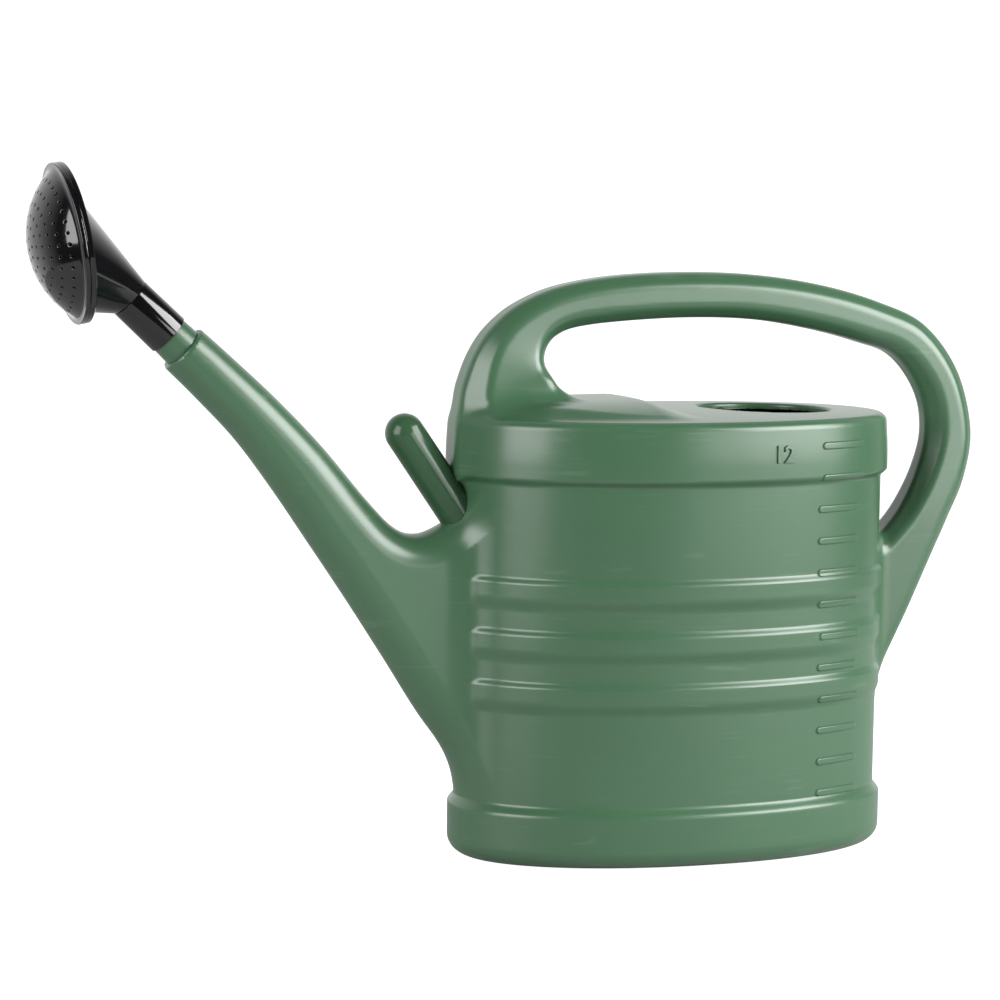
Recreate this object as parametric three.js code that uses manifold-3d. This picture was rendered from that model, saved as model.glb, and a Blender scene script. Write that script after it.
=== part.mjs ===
// Twelve-litre garden watering can: blow-moulded can with its handle and spout, a push-in peg that
// parks the rose, and a three-piece rose. Millimetres, +Z up, origin on the ground under the middle of
// the tank, spout towards -X, handle grip towards +X. The mould parts on the plane y = 0.

import * as THREE from "three";
import { mergeVertices } from "three/addons/utils/BufferGeometryUtils.js";
import Module from "manifold-3d";

const wasm = await Module();
wasm.setup();

// ---------------------------------------------------------------- driving dimensions

const GAP = 0.3; // clearance between neighbouring pieces
const WALL = 1.8; // wall of the blow-moulded can
const ROSE_WALL = 1.6; // wall of the injection-moulded rose

// Tank section: a superellipse that widens a little towards the top.
const TANK = {
  halfLength: 154,
  halfWidth: 93.7,
  exponent: 2.1,
  widening: 0.042, // growth of the half-width per millimetre of height
  referenceHeight: 150,
  joinHeight: 300, // the wall ends here and the deck's shoulder begins
  segments: 48,
};
const BAND_PROUD = 4.5; // how far the top and bottom bands stand out from the wall
const BOTTOM_BAND_TOP = 40;
const TOP_BAND_BOTTOM = 260;
const RIB_TOPS = [127.4, 162.7, 198]; // the crisp upper edge of each rib
const RIB_HEIGHT = 19;
const RIB_PROUD = 2.3;

const DECK = {
  edgeHeight: 304.6,
  crown: 3.2,
  humpRise: 8.5, // raised ground between the handle and the filler
  humpEnd: -8,
  humpRamp: 30,
  humpHalfWidth: 95,
  rings: 6,
};
const FILLER = { x: 70, radius: 47 };

const LITRE_MARKS = { count: 12, lowest: 45, pitch: 22, x: 94, length: 30, height: 6, proud: 1 };

// Spout: upper and lower edges in the plane y = 0, and half the width across it.
const SPOUT_STATIONS = [
  { upper: [-339.8, 365.1], lower: [-363.4, 339.8], halfWidth: 17.3 },
  { upper: [-318.5, 346.7], lower: [-344.0, 321.0], halfWidth: 17.9 },
  { upper: [-287.2, 318.3], lower: [-315.7, 291.6], halfWidth: 18.7 },
  { upper: [-255.5, 286.2], lower: [-289.6, 257.6], halfWidth: 19.6 },
  { upper: [-223.4, 248.9], lower: [-262.6, 218.8], halfWidth: 20.6 },
  { upper: [-203.0, 229.0], lower: [-237.0, 181.5], halfWidth: 21.4 },
  { upper: [-186.0, 224.5], lower: [-209.0, 139.0], halfWidth: 22 },
  { upper: [-166.0, 231.0], lower: [-178.0, 92.0], halfWidth: 22.5 },
  { upper: [-140.0, 236.0], lower: [-140.0, 48.0], halfWidth: 23 },
];
const SPOUT_SECTIONS = 16;

// Handle: outer and inner edges in the plane y = 0, front root first.
const HANDLE_STATIONS = [
  { upper: [-157.5, 285.0], lower: [-80.0, 285.0], halfWidth: 31 },
  { upper: [-157.0, 318.0], lower: [-84.5, 318.0], halfWidth: 27 },
  { upper: [-151.0, 341.0], lower: [-97.5, 336.0], halfWidth: 22 },
  { upper: [-139.5, 361.0], lower: [-97.5, 346.5], halfWidth: 19 },
  { upper: [-119.5, 378.5], lower: [-91.0, 356.5], halfWidth: 17.5 },
  { upper: [-88.0, 392.0], lower: [-74.0, 364.2], halfWidth: 17 },
  { upper: [-45.0, 399.3], lower: [-41.0, 368.0], halfWidth: 17 },
  { upper: [10.0, 401.7], lower: [10.5, 370.3], halfWidth: 17 },
  { upper: [63.0, 399.5], lower: [59.0, 368.5], halfWidth: 17 },
  { upper: [112.0, 392.2], lower: [103.5, 361.5], halfWidth: 17 },
  { upper: [155.0, 380.5], lower: [141.5, 352.0], halfWidth: 17 },
  { upper: [191.0, 364.5], lower: [170.5, 342.0], halfWidth: 17 },
  { upper: [219.0, 332.0], lower: [190.5, 315.5], halfWidth: 17 },
  { upper: [231.0, 290.0], lower: [195.0, 288.0], halfWidth: 17 },
  { upper: [226.5, 255.0], lower: [190.5, 262.0], halfWidth: 17.5 },
  { upper: [212.5, 225.0], lower: [180.0, 240.0], halfWidth: 18 },
  { upper: [186.5, 174.0], lower: [154.5, 189.0], halfWidth: 18 },
  { upper: [150.0, 101.0], lower: [119.0, 117.0], halfWidth: 18 },
];
const HANDLE_SECTIONS = 30;
const HANDLE_CORNER = 11;

// Spigot, sleeve and funnel neck share one axis that leaves the end of the spout.
const SPIGOT_AXIS_TILT = THREE.MathUtils.degToRad(43); // above the horizontal, towards -X
const SPIGOT_BASE = new THREE.Vector3(-351.5, 0, 352.5);
const SPIGOT = { length: 34, baseRadius: 14.3, tipRadius: 12.9, boreRadius: 11 };
const SLEEVE = { start: 13, end: 48.7, outerStart: 14.95, outerEnd: 14.6, boreStart: 13.9, boreEnd: 13.3 };
const NECK = { start: 38, radius: 12.95, boreRadius: 11.2 };

// Rose: measured from the front plane of its rim, along the face's own axis.
const ROSE_CENTRE = new THREE.Vector3(-430, 0, 421);
const ROSE_AXIS_DROP = THREE.MathUtils.degToRad(7.5); // the face looks this far below the horizontal
const ROSE = { radius: 53.5, domeRadius: 50, domeRise: 26, faceFlange: 3, funnelFlange: 5.5, seat: 48 };
const ROSE_SKIRT = { depth: 6.4, inner: 46, outer: 47.6 };
const HOLES = { rings: 5, pitch: 7.7, radius: 0.9 };

const PEG = {
  tipCentre: new THREE.Vector3(-195.6, 0, 293.2),
  root: new THREE.Vector3(-142, 0, 216),
  radius: 13.5,
};

// ---------------------------------------------------------------- solids and meshes

const Y = new THREE.Vector3(0, 1, 0);

/** A closed surface through rings of equal length, capped at both ends or joined into a loop. */
function loft(rings, isLoop = false) {
  const count = rings[0].length;
  const points = rings.flat();
  const triangles = [];
  const spans = isLoop ? rings.length : rings.length - 1;
  for (let i = 0; i < spans; i++) {
    const lower = i * count;
    const upper = ((i + 1) % rings.length) * count;
    for (let j = 0; j < count; j++) {
      const next = (j + 1) % count;
      triangles.push(lower + j, lower + next, upper + next);
      triangles.push(lower + j, upper + next, upper + j);
    }
  }
  if (!isLoop) {
    const last = (rings.length - 1) * count;
    const [bottom, top] = [points.length, points.length + 1];
    points.push(middle(rings[0]), middle(rings[rings.length - 1]));
    for (let j = 0; j < count; j++) {
      const next = (j + 1) % count;
      triangles.push(bottom, next, j);
      triangles.push(top, last + j, last + next);
    }
  }
  const geometry = new THREE.BufferGeometry().setFromPoints(points);
  geometry.setIndex(signedVolume(points, triangles) < 0 ? triangles.reverse() : triangles);
  return geometry;
}

function middle(ring) {
  const sum = new THREE.Vector3();
  ring.forEach((point) => sum.add(point));
  return sum.divideScalar(ring.length);
}

function signedVolume(points, triangles) {
  let volume = 0;
  const cross = new THREE.Vector3();
  for (let i = 0; i < triangles.length; i += 3) {
    const [a, b, c] = triangles.slice(i, i + 3).map((index) => points[index]);
    volume += cross.crossVectors(b, c).dot(a) / 6;
  }
  return volume;
}

function toSolid(geometry) {
  const bare = geometry.clone();
  bare.deleteAttribute("normal");
  bare.deleteAttribute("uv");
  const merged = mergeVertices(bare);
  return new wasm.Manifold(
    new wasm.Mesh({
      numProp: 3,
      vertProperties: new Float32Array(merged.attributes.position.array),
      triVerts: new Uint32Array(merged.index.array),
    }),
  );
}

function toGeometry(solid) {
  const { numProp, vertProperties, triVerts } = solid.getMesh();
  const positions = new Float32Array((vertProperties.length / numProp) * 3);
  for (let i = 0; i < positions.length / 3; i++) {
    positions.set(vertProperties.slice(i * numProp, i * numProp + 3), i * 3);
  }
  const geometry = new THREE.BufferGeometry();
  geometry.setAttribute("position", new THREE.BufferAttribute(positions, 3));
  geometry.setIndex(new THREE.BufferAttribute(new Uint32Array(triVerts), 1));
  geometry.computeVertexNormals();
  return geometry;
}

/** A turned solid: [radius, height] pairs from axis to axis, spun about `axis` from `origin`. */
function turned(profile, segments, origin = new THREE.Vector3(), axis = Y) {
  const points = profile.map(([radius, height]) => new THREE.Vector2(radius, height));
  const geometry = new THREE.LatheGeometry(points, segments);
  const turn = new THREE.Quaternion().setFromUnitVectors(Y, axis);
  geometry.applyQuaternion(turn).translate(origin.x, origin.y, origin.z);
  return toSolid(geometry);
}

function named(name, geometry, material) {
  const mesh = new THREE.Mesh(geometry, material);
  mesh.name = name;
  return mesh;
}

// ---------------------------------------------------------------- tank and deck

/** One ring of the tank's section at height z, grown outwards by `offset`. */
function tankRing(z, offset) {
  const a = TANK.halfLength + offset;
  const b = TANK.halfWidth + TANK.widening * (z - TANK.referenceHeight) + offset;
  const power = 2 / TANK.exponent;
  const ring = [];
  for (let i = 0; i < TANK.segments; i++) {
    const angle = (2 * Math.PI * i) / TANK.segments;
    const [c, s] = [Math.cos(angle), Math.sin(angle)];
    const x = a * Math.sign(c) * Math.abs(c) ** power;
    const y = b * Math.sign(s) * Math.abs(s) ** power;
    ring.push(new THREE.Vector3(x, y, z));
  }
  return ring;
}

/** [height, offset] pairs of the outside of the wall: bottom band, three ribs, top band. */
function wallProfile() {
  const profile = [
    [0, -10],
    [2.5, -4],
    [6.5, 0.5],
    [13, BAND_PROUD - 1],
    [22, BAND_PROUD],
    [BOTTOM_BAND_TOP - 1, BAND_PROUD],
    [BOTTOM_BAND_TOP + 2.5, 0],
  ];
  for (const top of RIB_TOPS) {
    profile.push([top - RIB_HEIGHT, 0]);
    profile.push([top - RIB_HEIGHT + 6, RIB_PROUD]);
    profile.push([top - 1.4, RIB_PROUD]);
    profile.push([top, 0]);
  }
  profile.push([TOP_BAND_BOTTOM, 0]);
  profile.push([TOP_BAND_BOTTOM + 5.5, BAND_PROUD]);
  return profile;
}

function smoothStep(t) {
  return THREE.MathUtils.smoothstep(t, 0, 1);
}

/** Height of the deck's upper face: a low crown with a hump between handle and filler. */
function deckHeight(x, y) {
  const halfWidth = TANK.halfWidth + TANK.widening * (TANK.joinHeight - TANK.referenceHeight);
  const n = TANK.exponent;
  const reach = (Math.abs(x) / TANK.halfLength) ** n + (Math.abs(y) / halfWidth) ** n;
  const crown = DECK.crown * Math.max(0, 1 - reach ** (2 / n));
  const along = smoothStep((DECK.humpEnd - x) / DECK.humpRamp);
  const across = Math.max(0, 1 - (y / DECK.humpHalfWidth) ** 2);
  const edge = Math.min(1, 4 * Math.max(0, 1 - reach));
  return DECK.edgeHeight + crown + DECK.humpRise * along * across * edge;
}

/** A ring of the deck's face between its outer edge (share 0) and a circle round the filler (1). */
function deckRing(share, radius, drop) {
  const outer = tankRing(DECK.edgeHeight, -0.5);
  return outer.map((point, i) => {
    const angle = (2 * Math.PI * i) / TANK.segments;
    const x = THREE.MathUtils.lerp(point.x, FILLER.x + radius * Math.cos(angle), share);
    const y = THREE.MathUtils.lerp(point.y, radius * Math.sin(angle), share);
    return new THREE.Vector3(x, y, deckHeight(x, y) - drop);
  });
}

function deckShoulder() {
  return [
    [TANK.joinHeight, BAND_PROUD],
    [TANK.joinHeight + 2.6, BAND_PROUD - 0.8],
    [TANK.joinHeight + 4, BAND_PROUD - 2.4],
  ];
}

/** The filled outside of tank and deck, grown by `growth`, used to trim what stands on it. */
function canEnvelope(growth) {
  const rings = wallProfile().map(([z, offset]) => tankRing(z, offset + growth));
  rings.push(...deckShoulder().map(([z, offset]) => tankRing(z + growth, offset + growth)));
  for (let i = 0; i <= DECK.rings; i++) {
    rings.push(deckRing(i / DECK.rings, FILLER.radius, -growth));
  }
  rings.push(deckRing(1, 1, -growth));
  return toSolid(loft(rings));
}

function litreMarks() {
  const marks = [];
  for (let i = 0; i < LITRE_MARKS.count; i++) {
    const z = LITRE_MARKS.lowest + i * LITRE_MARKS.pitch;
    const proud = z > TOP_BAND_BOTTOM ? BAND_PROUD : 0;
    const a = TANK.halfLength + proud;
    const b = TANK.halfWidth + TANK.widening * (z - TANK.referenceHeight) + proud;
    const n = TANK.exponent;
    const y = b * (1 - (LITRE_MARKS.x / a) ** n) ** (1 / n);
    const normal = new THREE.Vector2((LITRE_MARKS.x / a) ** (n - 1) / a, (y / b) ** (n - 1) / b);
    const bar = new THREE.BoxGeometry(LITRE_MARKS.length, 6, LITRE_MARKS.height);
    bar.translate(0, 3 - LITRE_MARKS.proud, 0);
    bar.rotateZ(Math.PI / 2 - normal.angle());
    bar.translate(LITRE_MARKS.x, -y, z);
    marks.push(toSolid(bar));
  }
  return marks;
}

function tankShell(cutters) {
  const outside = wallProfile().map(([z, offset]) => tankRing(z, offset));
  outside.push(tankRing(TANK.joinHeight - GAP, BAND_PROUD));
  const inside = [
    tankRing(TANK.joinHeight - GAP, BAND_PROUD - WALL),
    tankRing(TOP_BAND_BOTTOM + 5.5, BAND_PROUD - WALL),
    tankRing(TOP_BAND_BOTTOM, -WALL),
    tankRing(BOTTOM_BAND_TOP, -WALL),
    tankRing(12, -WALL),
    tankRing(WALL, -10 - WALL),
  ];
  let solid = toSolid(loft([...outside, ...inside]));
  litreMarks().forEach((mark) => (solid = solid.add(mark)));
  cutters.forEach((cutter) => (solid = solid.subtract(cutter)));
  return solid;
}

function topDeck(cutters) {
  const rings = deckShoulder().map(([z, offset]) => tankRing(z, offset));
  for (let i = 0; i <= DECK.rings; i++) {
    rings.push(deckRing(i / DECK.rings, FILLER.radius, 0));
  }
  for (let i = DECK.rings; i >= 0; i--) {
    rings.push(deckRing(i / DECK.rings, FILLER.radius, WALL));
  }
  rings.push(tankRing(TANK.joinHeight, BAND_PROUD - WALL));
  let solid = toSolid(loft(rings, true));
  cutters.forEach((cutter) => (solid = solid.subtract(cutter)));
  return solid;
}

// ---------------------------------------------------------------- handle and spout

/**
 * A swept solid whose sections stand across the plane y = 0 between an upper and a lower edge.
 * Each section is a rectangle with round corners, made smaller all round by `inset`.
 */
function swept(stations, sections, corner, inset) {
  const curve = (key) => new THREE.CatmullRomCurve3(stations.map(key));
  const upper = curve(({ upper: [x, z] }) => new THREE.Vector3(x, 0, z));
  const lower = curve(({ lower: [x, z] }) => new THREE.Vector3(x, 0, z));
  const width = curve(({ halfWidth }, i) => new THREE.Vector3(i, halfWidth, 0));
  const rings = [];
  for (let i = 0; i <= sections; i++) {
    const t = i / sections;
    const top = upper.getPoint(t);
    const bottom = lower.getPoint(t);
    const centre = top.clone().add(bottom).multiplyScalar(0.5);
    const up = top.clone().sub(bottom).normalize();
    const depth = top.distanceTo(bottom) / 2 - inset;
    const halfWidth = width.getPoint(t).y - inset;
    const radius = Math.min(corner - inset, depth, halfWidth) - 0.01;
    rings.push(roundedRing(centre, up, depth, halfWidth, radius));
  }
  return toSolid(loft(rings));
}

/** A rectangle with round corners about `centre`, `depth` along `up` and `halfWidth` along Y. */
function roundedRing(centre, up, depth, halfWidth, radius) {
  const pointsPerCorner = 4;
  const ring = [];
  for (let quarter = 0; quarter < 4; quarter++) {
    const signDepth = quarter === 0 || quarter === 3 ? 1 : -1;
    const signWidth = quarter < 2 ? 1 : -1;
    for (let i = 0; i < pointsPerCorner; i++) {
      const angle = (Math.PI / 2) * (quarter + i / (pointsPerCorner - 1));
      const along = signDepth * (depth - radius) + radius * Math.cos(angle);
      const across = signWidth * (halfWidth - radius) + radius * Math.sin(angle);
      ring.push(centre.clone().addScaledVector(up, along).addScaledVector(Y, across));
    }
  }
  return ring;
}

const widestSpout = Math.max(...SPOUT_STATIONS.map(({ halfWidth }) => halfWidth));
const spigotAxis = new THREE.Vector3(-Math.cos(SPIGOT_AXIS_TILT), 0, Math.sin(SPIGOT_AXIS_TILT));
const roseAxis = new THREE.Vector3(-Math.cos(ROSE_AXIS_DROP), 0, -Math.sin(ROSE_AXIS_DROP));

function onSpigotAxis(profile, segments) {
  return turned(profile, segments, SPIGOT_BASE, spigotAxis);
}

function spoutOutside(growth) {
  return swept(SPOUT_STATIONS, SPOUT_SECTIONS, widestSpout, -growth);
}

function spout(envelope) {
  return spoutOutside(0).subtract(envelope).subtract(spoutBore());
}

function spoutSpigot() {
  const { length, baseRadius, tipRadius, boreRadius } = SPIGOT;
  return onSpigotAxis(
    [[boreRadius, GAP], [baseRadius, GAP], [tipRadius, length], [boreRadius, length], [boreRadius, GAP]],
    32,
  );
}

/** The waterway: the spout's hollow, back through the tank's wall and out through the spigot. */
function spoutBore() {
  const hollow = swept(SPOUT_STATIONS, SPOUT_SECTIONS, widestSpout, WALL);
  return hollow.add(disc(SPIGOT.boreRadius, -8, 1, SPIGOT_BASE, spigotAxis, 24));
}

function handle(envelope) {
  const outside = swept(HANDLE_STATIONS, HANDLE_SECTIONS, HANDLE_CORNER, 0);
  return outside.subtract(envelope).subtract(handleHollow());
}

function handleHollow() {
  return swept(HANDLE_STATIONS, HANDLE_SECTIONS, HANDLE_CORNER, WALL);
}

function parkingPeg(envelope) {
  const axis = PEG.tipCentre.clone().sub(PEG.root);
  const length = axis.length();
  const profile = [[0, 0], [PEG.radius, 0]];
  const steps = 6;
  for (let i = 0; i <= steps; i++) {
    const angle = (Math.PI / 2) * (i / steps);
    profile.push([i === steps ? 0 : PEG.radius * Math.cos(angle), length + PEG.radius * Math.sin(angle)]);
  }
  const peg = turned(profile, 28, PEG.root, axis.normalize());
  return peg.subtract(envelope).subtract(spoutOutside(GAP));
}

// ---------------------------------------------------------------- rose

function circle(centre, axis, radius, count) {
  const turn = new THREE.Quaternion().setFromUnitVectors(Y, axis);
  const ring = [];
  for (let i = 0; i < count; i++) {
    const angle = (2 * Math.PI * i) / count;
    const spoke = new THREE.Vector3(radius * Math.cos(angle), 0, radius * Math.sin(angle));
    ring.push(spoke.applyQuaternion(turn).add(centre));
  }
  return ring;
}

function roseSleeve() {
  const { start, end, outerStart, outerEnd, boreStart, boreEnd } = SLEEVE;
  return onSpigotAxis(
    [[boreStart, start], [outerStart, start], [outerEnd, end], [boreEnd, end], [boreStart, start]],
    32,
  );
}

/** The skewed cone between the sleeve's end and the back of the rim. */
function funnelCone(neckHeight, neckRadius, rimHeight, rimRadius) {
  const neckCentre = SPIGOT_BASE.clone().addScaledVector(spigotAxis, neckHeight);
  const rimCentre = ROSE_CENTRE.clone().addScaledVector(roseAxis, rimHeight);
  const segments = 32;
  const neck = circle(neckCentre, spigotAxis, neckRadius, segments);
  const rim = circle(rimCentre, roseAxis, rimRadius, segments);
  return toSolid(loft([neck, rim]));
}

function disc(radius, low, high, origin, axis, segments = 48) {
  return turned([[0, low], [radius, low], [radius, high], [0, high]], segments, origin, axis);
}

function roseFunnel() {
  const neckEnd = SLEEVE.end + GAP;
  const front = -ROSE.faceFlange - GAP;
  const back = front - ROSE.funnelFlange;
  const onRose = (radius, low, high) => disc(radius, low, high, ROSE_CENTRE, roseAxis);
  const onSpigot = (radius, low, high) => disc(radius, low, high, SPIGOT_BASE, spigotAxis, 32);
  const outside = funnelCone(neckEnd, SLEEVE.outerEnd, back + 1, ROSE.seat + 2.5)
    .add(onRose(ROSE.radius, back, front))
    .add(onSpigot(NECK.radius, NECK.start, neckEnd + 2));
  return outside
    .subtract(funnelCone(neckEnd + 1, NECK.boreRadius, back + 1.1, ROSE.seat))
    .subtract(onRose(ROSE.seat, back + 1, front + 1))
    .subtract(onSpigot(NECK.boreRadius, NECK.start - 1, neckEnd + 2));
}

/** Points of a shallow dome from its rim in to its top: a cap of a sphere. */
function domeArc(radius, rise, steps) {
  const sphere = (radius ** 2 + rise ** 2) / (2 * rise);
  const reach = Math.asin(radius / sphere);
  const points = [];
  for (let i = 0; i <= steps; i++) {
    const angle = reach * (1 - i / steps);
    points.push([i === steps ? 0 : sphere * Math.sin(angle), sphere * (Math.cos(angle) - 1) + rise]);
  }
  return points;
}

/** The rose's face, turned about its own +Y: dome, flange and the skirt that plugs into the funnel. */
function roseFace() {
  const inner = domeArc(ROSE_SKIRT.inner, ROSE.domeRise - ROSE_WALL - 1.4, 7).reverse();
  const outer = domeArc(ROSE.domeRadius, ROSE.domeRise, 8);
  const profile = [
    ...inner,
    [ROSE_SKIRT.inner, -ROSE_SKIRT.depth],
    [ROSE_SKIRT.outer, -ROSE_SKIRT.depth],
    [ROSE_SKIRT.outer, -ROSE.faceFlange],
    [ROSE.radius, -ROSE.faceFlange],
    [ROSE.radius, 0],
    ...outer,
  ];
  let solid = turned(profile, 40);
  for (let ring = 0; ring <= HOLES.rings; ring++) {
    const holes = ring === 0 ? 1 : 6 * ring;
    for (let i = 0; i < holes; i++) {
      const angle = (2 * Math.PI * (i + 0.25)) / holes;
      const drill = new THREE.CylinderGeometry(HOLES.radius, HOLES.radius, 2 * ROSE.domeRise, 4);
      const distance = ring * HOLES.pitch;
      drill.translate(distance * Math.cos(angle), ROSE.domeRise, distance * Math.sin(angle));
      solid = solid.subtract(toSolid(drill));
    }
  }
  return solid;
}

// ---------------------------------------------------------------- assembly

const green = (shade) => new THREE.MeshStandardMaterial({ color: shade, roughness: 0.42, metalness: 0 });
const black = () => new THREE.MeshStandardMaterial({ color: 0x111214, roughness: 0.16, metalness: 0 });

const envelope = canEnvelope(GAP);
const waterway = spoutBore();
const gripHollow = handleHollow();

const can = new THREE.Group();
can.add(named("tank_shell", toGeometry(tankShell([waterway, gripHollow])), green(0x4c7a58)));
can.add(named("top_deck", toGeometry(topDeck([gripHollow])), green(0x5a8565)));
can.add(named("handle", toGeometry(handle(envelope)), green(0x4c7a58)));
can.add(named("spout", toGeometry(spout(envelope)), green(0x4c7a58)));
can.add(named("spout_spigot", toGeometry(spoutSpigot()), green(0x4c7a58)));
can.add(named("parking_peg", toGeometry(parkingPeg(envelope)), green(0x44704f)));

const face = new THREE.Group();
face.position.copy(ROSE_CENTRE);
face.quaternion.setFromUnitVectors(Y, roseAxis);
face.add(named("rose_face", toGeometry(roseFace()), black()));

const rose = new THREE.Group();
rose.add(named("rose_sleeve", toGeometry(roseSleeve()), black()));
rose.add(named("rose_funnel", toGeometry(roseFunnel()), black()));
rose.add(face);

const group = new THREE.Group();
group.add(can, rose);

export default group;
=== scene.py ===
"""A twelve-litre garden watering can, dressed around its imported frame.

The can is one hollow blow-moulding, so its skin is a level set: the tank, handle and spout are
signed distances in millimetres that flow into each other with a soft fillet, and the skin is where
the joined distance is nought. Turned pieces are profiles carried round an axis.
"""

import logging
import math
from dataclasses import dataclass, field
from enum import Enum
from typing import Callable, Sequence

import bpy
import numpy as np
from mathutils import Matrix, Vector

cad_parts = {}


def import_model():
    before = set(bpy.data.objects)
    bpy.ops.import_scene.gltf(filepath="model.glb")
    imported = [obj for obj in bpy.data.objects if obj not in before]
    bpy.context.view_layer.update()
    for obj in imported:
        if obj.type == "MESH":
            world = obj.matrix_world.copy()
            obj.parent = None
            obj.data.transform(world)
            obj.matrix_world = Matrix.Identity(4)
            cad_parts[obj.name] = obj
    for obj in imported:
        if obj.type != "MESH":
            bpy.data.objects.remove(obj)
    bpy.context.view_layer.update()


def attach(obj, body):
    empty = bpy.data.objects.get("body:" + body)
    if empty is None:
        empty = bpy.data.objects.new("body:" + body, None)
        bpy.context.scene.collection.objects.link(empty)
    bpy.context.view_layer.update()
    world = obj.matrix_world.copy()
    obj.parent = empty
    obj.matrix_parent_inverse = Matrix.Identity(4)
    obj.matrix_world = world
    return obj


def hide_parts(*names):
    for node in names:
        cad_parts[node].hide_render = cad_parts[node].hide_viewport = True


LOG = logging.getLogger("watering_can")
MM = 0.001
Array = np.ndarray
Distance = Callable[[Array], Array]


class Slot(Enum):
    """The record's material slots."""

    CAN = "can_plastic"
    PEG = "peg_plastic"
    ROSE = "rose_plastic"


class Body(Enum):
    """The record's rigid bodies."""

    CAN = "can"
    SLEEVE = "rose_sleeve"
    FUNNEL = "rose_funnel"
    FACE = "rose_face"


# ---------------------------------------------------------------- curves and distances


def spline(points: Sequence[Sequence[float]], count: int) -> Array:
    """Samples a uniform Catmull-Rom spline.

    Each span is the cubic through its two ends whose slopes are half the chord of the neighbours.

    Args:
        points: the values it passes through, one row each.
        count: how many samples to take from the first point to the last.

    Returns:
        The samples, one row each.
    """
    knots = np.asarray(points, float)
    padded = np.vstack([2 * knots[0] - knots[1], knots, 2 * knots[-1] - knots[-2]])
    place = np.linspace(0, len(knots) - 1, count)
    span = np.minimum(place.astype(int), len(knots) - 2)
    t = (place - span)[:, None]
    a, b, c, d = (padded[span + i] for i in range(4))
    return 0.5 * (2 * b + (c - a) * t + (2 * a - 5 * b + 4 * c - d) * t**2 + (3 * b - a - 3 * c + d) * t**3)


def ramp(low: float, high: float, value: Array) -> Array:
    """Rises smoothly from 0 at low to 1 at high: 3t² - 2t³."""
    t = np.clip((value - low) / (high - low), 0.0, 1.0)
    return t * t * (3.0 - 2.0 * t)


def join(first: Array, second: Array, fillet: float) -> Array:
    """Joins two distances with a fillet: the smaller, less a quadratic where they are close."""
    close = np.maximum(fillet - np.abs(first - second), 0.0) / fillet
    return np.minimum(first, second) - close * close * fillet / 4.0


def trim(first: Array, second: Array, radius: float) -> Array:
    """Keeps what two distances share, with a round edge: a circular arc between the two faces."""
    u, v = first + radius, second + radius
    outside = np.hypot(np.maximum(u, 0.0), np.maximum(v, 0.0))
    return outside + np.minimum(np.maximum(u, v), 0.0) - radius


@dataclass
class PlaneField:
    """A smooth function on the plane y = 0, kept on a square lattice and read by cubic weights."""

    low: Array
    step: float
    values: Array

    def __call__(self, x: Array, z: Array) -> Array:
        """Reads the field at points by Catmull-Rom weights on the sixteen nearest lattice values."""
        u = np.clip((x - self.low[0]) / self.step, 1.0, self.values.shape[0] - 3.001)
        v = np.clip((z - self.low[1]) / self.step, 1.0, self.values.shape[1] - 3.001)
        i, j = u.astype(int), v.astype(int)
        across, along = self._weights(u - i), self._weights(v - j)
        total = np.zeros_like(u)
        for a in range(4):
            row = sum(along[b] * self.values[i + a - 1, j + b - 1] for b in range(4))
            total += across[a] * row
        return total

    @staticmethod
    def _weights(t: Array) -> tuple[Array, Array, Array, Array]:
        """The four Catmull-Rom weights at a fraction t of a cell."""
        t2, t3 = t * t, t * t * t
        return (
            0.5 * (2 * t2 - t - t3),
            0.5 * (2 - 5 * t2 + 3 * t3),
            0.5 * (t + 4 * t2 - 3 * t3),
            0.5 * (t3 - t2),
        )


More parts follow.
